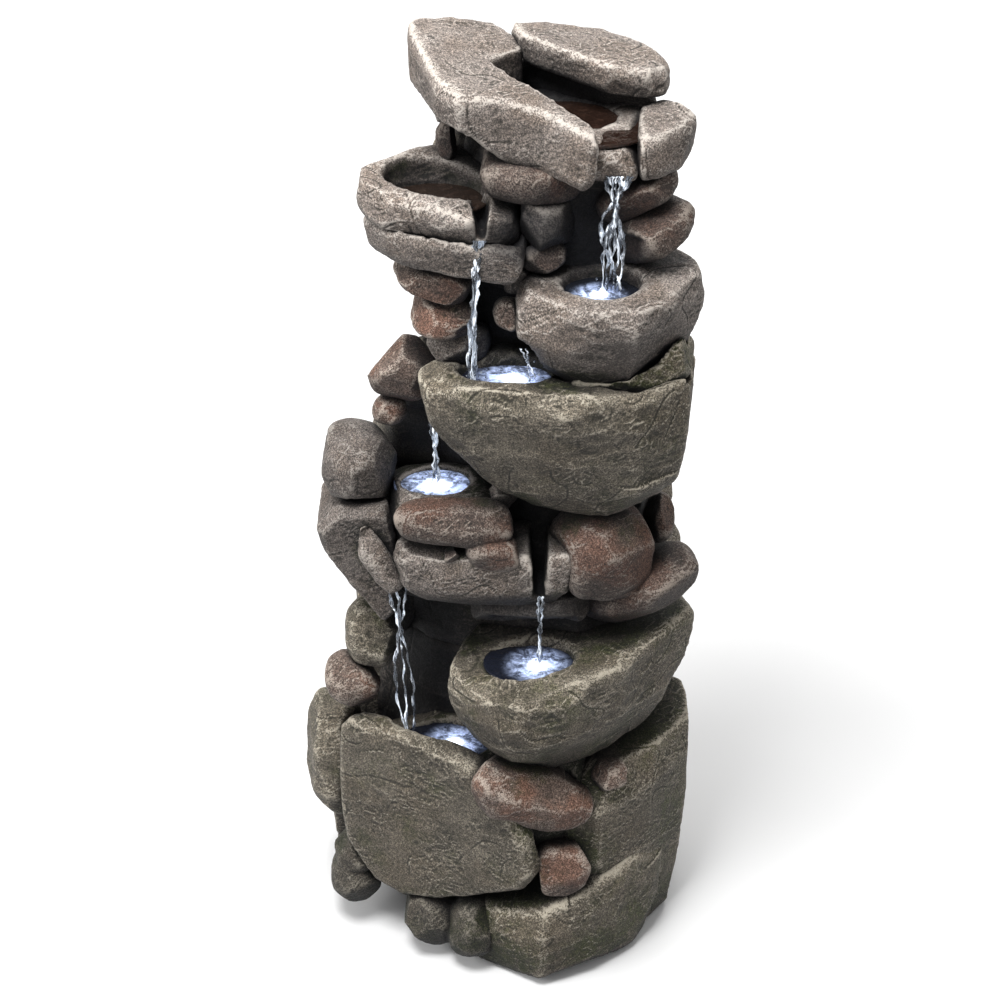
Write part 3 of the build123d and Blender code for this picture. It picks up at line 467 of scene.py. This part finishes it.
BLACK = plastic("black_plastic", (0.018, 0.018, 0.02))
DOOR = plastic("door_plastic", (0.045, 0.04, 0.036), 0.55, 700, 0.0004)
ROTOR = plastic("rotor_plastic", (0.28, 0.3, 0.32), 0.35)
CERAMIC = plastic("shaft_ceramic", (0.72, 0.7, 0.64), 0.18)
HOSE = plastic("hose", (0.03, 0.032, 0.034), 0.3, 300)
SHEATH = plastic("lead_sheath", (0.014, 0.014, 0.015), 0.4)
RUBBER = plastic("rubber", (0.03, 0.03, 0.031), 0.8)


def lens_material():
    g = Graph("lens")
    far = g.noise(300, 3, 0.6)
    tint = g.mix(far, (0.8, 0.86, 1.0), (1.0, 1.0, 1.0))
    return g.set(Base_Color=tint, Roughness=0.25, Emission_Color=tint, Emission_Strength=6.0)


LENS = lens_material()

# ---------------------------------------------------------------- the stones
GREY_NODES = {
    "slab": ["top_crescent_slab", "top_right_slab", "cap_stone", "upper_left_under_slab", "left_leaning_slab",
             "ledge_stone"],
    "bowl": ["top_bowl_floor", "upper_left_bowl", "right_bowl", "left_pool_bowl"],
    "boulder": ["cap_support_stone", "top_rear_stone", "neck_grey_stones", "middle_grey_stones",
                "left_boulder"],
}
MOSSY_NODES = {
    "slab": ["front_slab", "right_base_slab", "rear_left_base_slab", "rear_right_base_slab", "rear_slabs"],
    "bowl": ["centre_bowl", "lower_right_bowl", "basin_bowl"],
    "boulder": ["right_shoulder_stone", "left_lower_stones", "front_toe_stone", "left_base_boulder",
                "base_grey_stones",
                "rear_lintel_stone", "rear_left_stones", "rear_right_stones"],
}
RED_NODES = {"red": ["upper_red_stones", "neck_red_stones", "middle_red_stones", "upper_left_red_stones",
                     "left_lower_red_stone", "base_red_stones"]}
CORE_NODES = {"core": ["reservoir", "lower_column", "middle_column", "upper_column"]}
MOSS = {"upper_left_bowl": 0.1, "right_bowl": 0.3, "centre_bowl": 0.55, "right_shoulder_stone": 0.9,
        "lower_right_bowl": 0.6,
        "front_slab": 0.5, "right_base_slab": 0.7, "front_toe_stone": 0.7,
        "left_base_boulder": 0.5, "basin_bowl": 0.6,
        "base_grey_stones": 0.75, "left_pool_bowl": 0.6, "left_lower_stones": 0.45, "ledge_stone": 0.35,
        "middle_red_stones": 0.4, "base_red_stones": 0.4, "left_boulder": 0.35, "left_leaning_slab": 0.25}


def outside(points, normals):
    """The outer face of the column, away from the door and its frame."""
    spread = np.hypot(points[:, 0], points[:, 1] - 0.03)
    outward = (normals[:, 0] * points[:, 0] + normals[:, 1] * (points[:, 1] - 0.03)) / np.maximum(spread, 1e-6)
    door = (np.abs(points[:, 0]) < frame_high[0] + 0.012) & (points[:, 1] > 0.1)
    door &= (points[:, 2] > frame_low[2] - 0.012) & (points[:, 2] < frame_high[2] + 0.012)
    return ease(outward, 0.1, 0.5) * ~door * ease(0.163 - points[:, 1], 0.0, 0.008)


def seed_of(name):
    return sum((index + 1) * ord(letter) for index, letter in enumerate(name))


def build_stones(groups, material, moss):
    for style, names in groups.items():
        for name in names:
            solids = []
            for index, solid in enumerate(loose_parts(name)):
                voxel = CORE_VOXEL if style == "core" else VOXEL
                inner = outside if style == "core" else None
                seed = 7 if style == "core" else seed_of(name) + 31 * index
                solids.append(stone_mesh(solid, seed, style, voxel, MOSS.get(name, moss), DIM.get(name, 0.0),
                                         inner))
            piece = add_piece(name + "_sculpted", joined(solids, name + "_sculpted"), material)
            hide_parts(name)


build_stones(GREY_NODES, GREY, 0.0)
build_stones(MOSSY_NODES, MOSSY_SHADED, 0.2)
build_stones(RED_NODES, RED, 0.0)
build_stones(CORE_NODES, CORE, 0.1)

# ---------------------------------------------------------------- water
SHEET_RINGS, SHEET_SPOKES, SHEET_DEEP = 26, 96, 0.003


def glass_water(name, tint, glow, rough):
    """Clear water with streaks of foam and painted highlight: the streaks are paler and glow white over a dark,
    glossy body.
    """
    g = Graph(name)
    streak = g.noise(150, 4, 0.65, place=g.stretch(1, 1, 0.22), distortion=0.8)
    # Foam and painted highlight: the same mask whitens the colour and drives the glow.
    foam_and_glint = g.step(streak, 0.5, 0.66)
    body = g.mix(foam_and_glint, tint, (0.9, 0.94, 1.0))
    g.bump(streak, 0.0012, 0.7)
    clear = g.step(streak, 0.62, 0.45, 0.1, 0.85)
    return g.set(Base_Color=body, Roughness=rough, IOR=1.33, Transmission_Weight=clear,
                 Emission_Color=(0.85, 0.92, 1.0), Emission_Strength=g.math("MULTIPLY", foam_and_glint, glow))


def pool_water(name, base, lamp, reach, power):
    """The surface of a pool. Over a lamp the water has painted light: it glows and turns paler in a core and
    halo that glints and lit foam break up.
    """
    g = Graph(name)
    ripple = g.noise(95, 4, 0.6, distortion=1.2)
    bent = g.node("ShaderNodeTexNoise", {"Vector": g.place, "Scale": 60.0, "Detail": 2.0}).outputs["Color"]
    shift = g.node("ShaderNodeVectorMath", {0: bent, 3: 0.022}, operation="SCALE").outputs[0]
    moved = g.node("ShaderNodeVectorMath", {0: g.place, 1: shift}, operation="ADD")
    web = g.step(g.cells(110, "DISTANCE_TO_EDGE", place=moved.outputs[0]), 0.1, 0.0)
    g.bump(ripple, 0.0025, 0.8)
    if lamp is None:
        body = g.mix(g.step(ripple, 0.45, 0.7, 0.0, 0.35), base, tuple(min(1, 4 * c) for c in base))
        return g.set(Base_Color=body, Roughness=0.06, Specular_IOR_Level=0.6, IOR=1.33)
    # Painted light from the lamp below: a radial core and halo, broken up by a web of glints and lit foam,
    # lighten the colour and glow.
    distance = g.node("ShaderNodeVectorMath", {0: g.place, 1: lamp}, operation="DISTANCE").outputs["Value"]
    core = g.step(distance, reach * 0.42, 0.0)
    halo = g.step(distance, reach, reach * 0.1)
    foam_and_glint = g.step(g.noise(70, 5, 0.62, distortion=0.6), 0.42, 0.66)
    sparkle = g.math("ADD", g.math("MULTIPLY", web, 0.22),
                     g.math("ADD", foam_and_glint, g.step(g.noise(260, 3, 0.7), 0.5, 0.7, 0.0, 0.6)))
    glow = g.math("MULTIPLY", halo, g.math("ADD", sparkle, 0.12))
    glow = g.math("ADD", g.math("MULTIPLY", glow, 0.7), g.math("MULTIPLY", g.math("POWER", core, 1.5), 2.0))
    body = g.mix(g.math("MINIMUM", glow, 1.0), base, (0.6, 0.7, 0.9))
    tint = g.mix(core, (0.5, 0.62, 1.0), (0.95, 0.97, 1.0))
    return g.set(Base_Color=body, Roughness=0.08, Specular_IOR_Level=0.6, IOR=1.33,
                 Emission_Color=tint, Emission_Strength=g.math("MULTIPLY", glow, power))


def water_sheet(name, centre, half, level, splashes=()):
    """A thin closed disc of water with ripples round each splash."""
    bm = bmesh.new()
    top = [[bm.verts.new((centre[0], centre[1], level))]]
    for ring in range(1, SHEET_RINGS + 1):
        share = ring / SHEET_RINGS
        row = []
        for step in range(SHEET_SPOKES):
            angle = 2 * math.pi * step / SHEET_SPOKES
            row.append(bm.verts.new((centre[0] + half[0] * share * math.cos(angle),
                                     centre[1] + half[1] * share * math.sin(angle), level)))
        top.append(row)
    under = [bm.verts.new((v.co.x, v.co.y, level - SHEET_DEEP)) for v in top[-1]]
    below = bm.verts.new((centre[0], centre[1], level - SHEET_DEEP))
    for step in range(SHEET_SPOKES):
        after = (step + 1) % SHEET_SPOKES
        bm.faces.new((top[0][0], top[1][step], top[1][after]))
        for inner_row, outer_row in zip(top[1:], top[2:]):
            bm.faces.new((inner_row[step], outer_row[step], outer_row[after], inner_row[after]))
        bm.faces.new((top[-1][step], under[step], under[after], top[-1][after]))
        bm.faces.new((under[step], below, under[after]))
    surface = [v for row in top[:-1] for v in row]
    spots = np.array([v.co for v in surface])
    lift = 0.5 * noise(spots * 1000 / 16, seed_of(name)) + 0.3 * noise(spots * 1000 / 7, seed_of(name) + 1)
    for x, y in splashes:
        gap = np.hypot(spots[:, 0] - x, spots[:, 1] - y) * 1000
        lift += 1.6 * np.cos(gap / 1.5) * np.exp(-gap / 11) + 2.2 * np.exp(-(gap / 4.5) ** 2)
    for vert, rise in zip(surface, lift):
        vert.co.z += rise * MM
    mesh = bpy.data.meshes.new(name)
    bmesh.ops.recalc_face_normals(bm, faces=bm.faces)
    bm.to_mesh(mesh)
    bm.free()
    mesh.polygons.foreach_set("use_smooth", [True] * len(mesh.polygons))
    return mesh


def strand(bm, path, width, seed):
    """One thread of falling water along a path of points, swelling and thinning as it goes."""
    flat, sides = 0.6, 10
    dice = random.Random(seed)
    phase, rings = dice.uniform(0, 6), []
    for index, point in enumerate(path):
        share = index / (len(path) - 1)
        along = share * len(path) / 12
        pulse = 1 + 0.35 * math.sin(9 * along + phase) + 0.22 * math.sin(23 * along + 2 * phase)
        size = width * max(0.35, pulse) * (1 - 0.25 * share)
        if index in (0, len(path) - 1):
            size *= 0.3
        turn = phase + 5 * share
        ring = []
        for step in range(sides):
            angle = 2 * math.pi * step / sides
            u, v = math.cos(angle) * size, math.sin(angle) * size * flat
            ring.append(bm.verts.new((point[0] + u * math.cos(turn) - v * math.sin(turn),
                                      point[1] + u * math.sin(turn) + v * math.cos(turn), point[2])))
        rings.append(ring)
    for low, high in zip(rings, rings[1:]):
        for step in range(sides):
            after = (step + 1) % sides
            bm.faces.new((low[step], low[after], high[after], high[step]))
    bm.faces.new(rings[0][::-1])
    bm.faces.new(rings[-1])


def stream(name, start, end, spread, threads, width, seed, braid, drops=8):
    """A fall of water between two points: crossing threads, and loose drops round its foot."""
    dice = random.Random(seed)
    bm = bmesh.new()
    steps = max(18, int((start[2] - end[2]) / 0.003))
    for thread in range(threads):
        offset = thread / max(1, threads - 1) - 0.5 if threads > 1 else 0.0
        swing, phase = dice.uniform(0.7, 1.2), thread * math.pi
        path = []
        for step in range(steps + 1):
            share = step / steps
            drop = share ** 1.25
            weave = math.cos(braid * 2 * math.pi * share * 0.5 * swing)
            wobble = 0.0007 * math.sin(31 * share + phase) + 0.0005 * math.sin(57 * share + 2 * phase)
            x = start[0] + (end[0] - start[0]) * share + 2 * offset * spread * weave + wobble
            y = start[1] + (end[1] - start[1]) * math.sqrt(share) + 0.0015 * math.sin(phase + 7 * share)
            path.append((x, y, start[2] + (end[2] - start[2]) * drop))
        strand(bm, path, width * dice.uniform(0.75, 1.2), seed * 10 + thread)
    for _ in range(drops):
        angle, reach = dice.uniform(0, 6.3), dice.uniform(0.003, 0.016)
        spot = Vector((end[0] + reach * math.cos(angle), end[1] + reach * math.sin(angle),
                       end[2] + dice.uniform(0.002, 0.018)))
        bmesh.ops.create_icosphere(bm, subdivisions=2, radius=dice.uniform(0.0005, 0.0013),
                                   matrix=mathutils.Matrix.Translation(spot))
    bmesh.ops.recalc_face_normals(bm, faces=bm.faces)
    mesh = bpy.data.meshes.new(name)
    bm.to_mesh(mesh)
    bm.free()
    mesh.polygons.foreach_set("use_smooth", [True] * len(mesh.polygons))
    return mesh


# How far the water stands below the top of the space stated for each pool.
LEVEL_DROP = {"upper_left": 0.018, "right": 0.012, "centre": 0.010, "left": 0.012, "lower_right": 0.010,
              "basin": 0.010}
DARK = {"upper_left": (0.02, 0.013, 0.01), "right": (0.012, 0.014, 0.02)}
LAMPS = dict(zip(["right", "centre", "left", "lower_right", "basin"], LIGHT_CENTRES))
GLOW = {"right": (0.032, 2.2), "centre": (0.048, 1.9), "left": (0.05, 2.1), "lower_right": (0.04, 1.8),
        "basin": (0.04, 1.6)}
LANDINGS = {"right": [(0.098, -0.088), (0.108, -0.088)], "centre": [(-0.027, -0.104), (0.02, -0.1)],
            "left": [(-0.066, -0.052)],
            "lower_right": [(0.04, -0.128)], "basin": [(-0.096, -0.092)], "upper_left": []}
level_of = {}
for pool, (low, high) in POOLS.items():
    if pool not in LEVEL_DROP:
        continue
    centre = ((low[0] + high[0]) / 2, (low[1] + high[1]) / 2)
    half = ((high[0] - low[0]) / 0.92, (high[1] - low[1]) / 0.92)
    level = high[2] - LEVEL_DROP[pool]
    level_of[pool] = level
    grown = (half[0] + 0.003, half[1] + 0.003)
    lamp = None
    if pool in LAMPS:
        lamp = (float(LAMPS[pool][0]), float(LAMPS[pool][1]), level)
    reach, power = GLOW.get(pool, (0, 0))
    finish = pool_water(pool + "_water", DARK.get(pool, (0.012, 0.014, 0.022)), lamp, reach, power)
    sheet = water_sheet(pool + "_water", centre, grown, level, splashes=LANDINGS[pool])
    add_piece(pool + "_water", sheet, finish)

top_low, top_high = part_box("top_bowl_floor")
TOP_LEVEL = top_high.z - 0.002
LIP = (0.111, top_low.y + 0.004, top_high.z - 0.006)
top_sheet = water_sheet("top_water", (0.074, -0.03), (0.08, top_low.y * -1 - 0.032), TOP_LEVEL)
add_piece("top_water", top_sheet, pool_water("top_water", (0.02, 0.011, 0.008), None, 0, 0))

FALL = glass_water("falling_water", (0.3, 0.33, 0.38), 0.75, 0.04)
FALLS = [
    ("top_fall", (LIP[0], LIP[1] - 0.005, 0.892), (0.103, -0.09, level_of["right"]), 0.012, 6, 0.0023, 3, 1.6),
    ("upper_left_fall", (-0.0205, -0.112, 0.834), (-0.027, -0.106, level_of["centre"]), 0.004, 4, 0.0026, 4,
     1.0),
    ("right_trickle", (0.022, -0.098, 0.715), (0.032, -0.098, level_of["centre"]), 0.003, 2, 0.0011, 5, 1.0),
    ("centre_fall", (-0.066, -0.062, 0.62), (-0.066, -0.054, level_of["left"]), 0.004, 3, 0.0018, 6, 1.0),
    ("left_fall", (-0.105, -0.1, 0.446), (-0.097, -0.092, level_of["basin"]), 0.009, 3, 0.002, 7, 1.6),
    ("ledge_fall", (0.041, -0.128, 0.452), (0.04, -0.126, level_of["lower_right"]), 0.002, 2, 0.0017, 8, 1.0),
]
for name, start, end, spread, threads, width, seed, braid in FALLS:
    add_piece(name, stream(name, start, end, spread, threads, width, seed, braid), FALL)

# ---------------------------------------------------------------- the working parts
FINISHES = {
    BLACK: ["pump_motor", "pump_cover", "door_button", "junction_block", "flow_dial", "cable_gland",
            "top_nozzle", "light_cups",
            "door_frame"],
    DOOR: ["access_door"],
    ROTOR: ["pump_rotor"],
    CERAMIC: ["pump_shaft"],
    HOSE: ["riser_hose"],
    SHEATH: ["light_leads", "pump_lead"],
    LENS: ["light_lenses"],
    RUBBER: ["rubber_feet", "pump_suction_feet", "drain_plug"],
}
for finish, names in FINISHES.items():
    for name in names:
        nodes[name].data.materials.clear()
        nodes[name].data.materials.append(finish)

# ---------------------------------------------------------------- studio
CAMERA_HEIGHT = math.radians(30)
CAMERA_REACH = 2.6
AIM = Vector((0, 0, 0.49))
camera = bpy.data.objects.new("camera", bpy.data.cameras.new("camera"))
scene.collection.objects.link(camera)
camera.location = AIM + CAMERA_REACH * Vector((0, -math.cos(CAMERA_HEIGHT), math.sin(CAMERA_HEIGHT)))
camera.rotation_euler = (math.pi / 2 - CAMERA_HEIGHT, 0, 0)
camera.data.sensor_width = 36
camera.data.lens = 89.86
scene.camera = camera


def soft_light(name, place, power, size, aim=AIM):
    light = bpy.data.objects.new(name, bpy.data.lights.new(name, "AREA"))
    scene.collection.objects.link(light)
    light.data.energy = power
    light.data.size = size
    light.location = place
    light.rotation_euler = (aim - light.location).to_track_quat("-Z", "Y").to_euler()


soft_light("key", Vector((-0.4, -0.75, 2.3)), 42, 0.8)
soft_light("side", Vector((-2.2, -0.9, 1.5)), 26, 1.0)
soft_light("back", Vector((0.6, 2.2, 2.0)), 18, 1.6)
soft_light("floor", Vector((0.0, 3.4, 2.6)), 70, 3.0, Vector((0.0, 3.4, 0.0)))

world = bpy.data.worlds.new("studio")
scene.world = world
world.use_nodes = True
world.node_tree.nodes["Background"].inputs["Color"].default_value = (1, 1, 1, 1)
world.node_tree.nodes["Background"].inputs["Strength"].default_value = 0.45
scene.view_settings.view_transform = "Standard"

floor_mesh = bpy.data.meshes.new("floor")
floor_mesh.from_pydata([(-4, -4, 0), (4, -4, 0), (4, 4, 0), (-4, 4, 0)], [], [(0, 1, 2, 3)])
floor = bpy.data.objects.new("floor", floor_mesh)
scene.collection.objects.link(floor)
paper = Graph("floor")
sheen = paper.noise(6, 3, 0.5)
floor_mesh.materials.append(paper.set(Base_Color=paper.mix(sheen, (0.93, 0.93, 0.93), (0.97, 0.97, 0.97)),
                                      Roughness=0.8))
